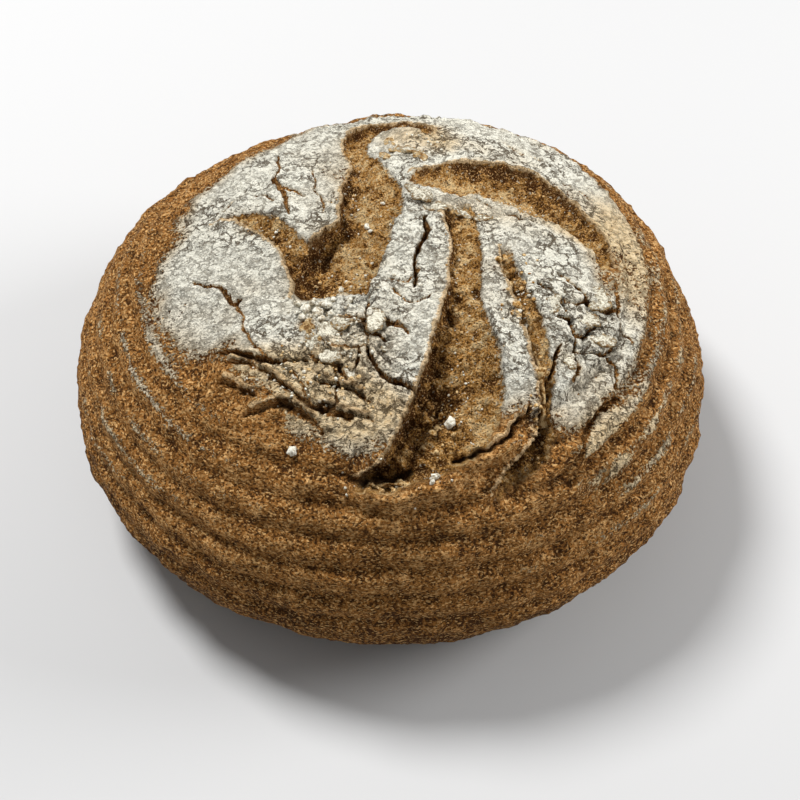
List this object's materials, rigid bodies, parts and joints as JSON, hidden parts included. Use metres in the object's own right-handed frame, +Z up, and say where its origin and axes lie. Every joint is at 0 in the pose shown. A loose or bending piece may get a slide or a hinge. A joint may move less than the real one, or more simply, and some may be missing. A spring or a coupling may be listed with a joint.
{
  "type": "sourdough loaf",
  "caption": "Round rustic sourdough loaf with a floured, basket-ringed crust that has burst open on top in curved tears.",
  "frame": {"origin": "middle of the flat underside, on the surface the loaf rests on", "axes": "+Z up, -Y towards the side that faced the camera, +X to that camera's right"},
  "size_m": [0.2422, 0.2362, 0.1125],
  "materials": {
    "crust": "dry matt baked crust, brown on the sides and in the tears, with a thick cracked coat of pale flour on top"
  },
  "bodies": {
    "root": {"loaf": "crust"}
  },
  "joints": []
}
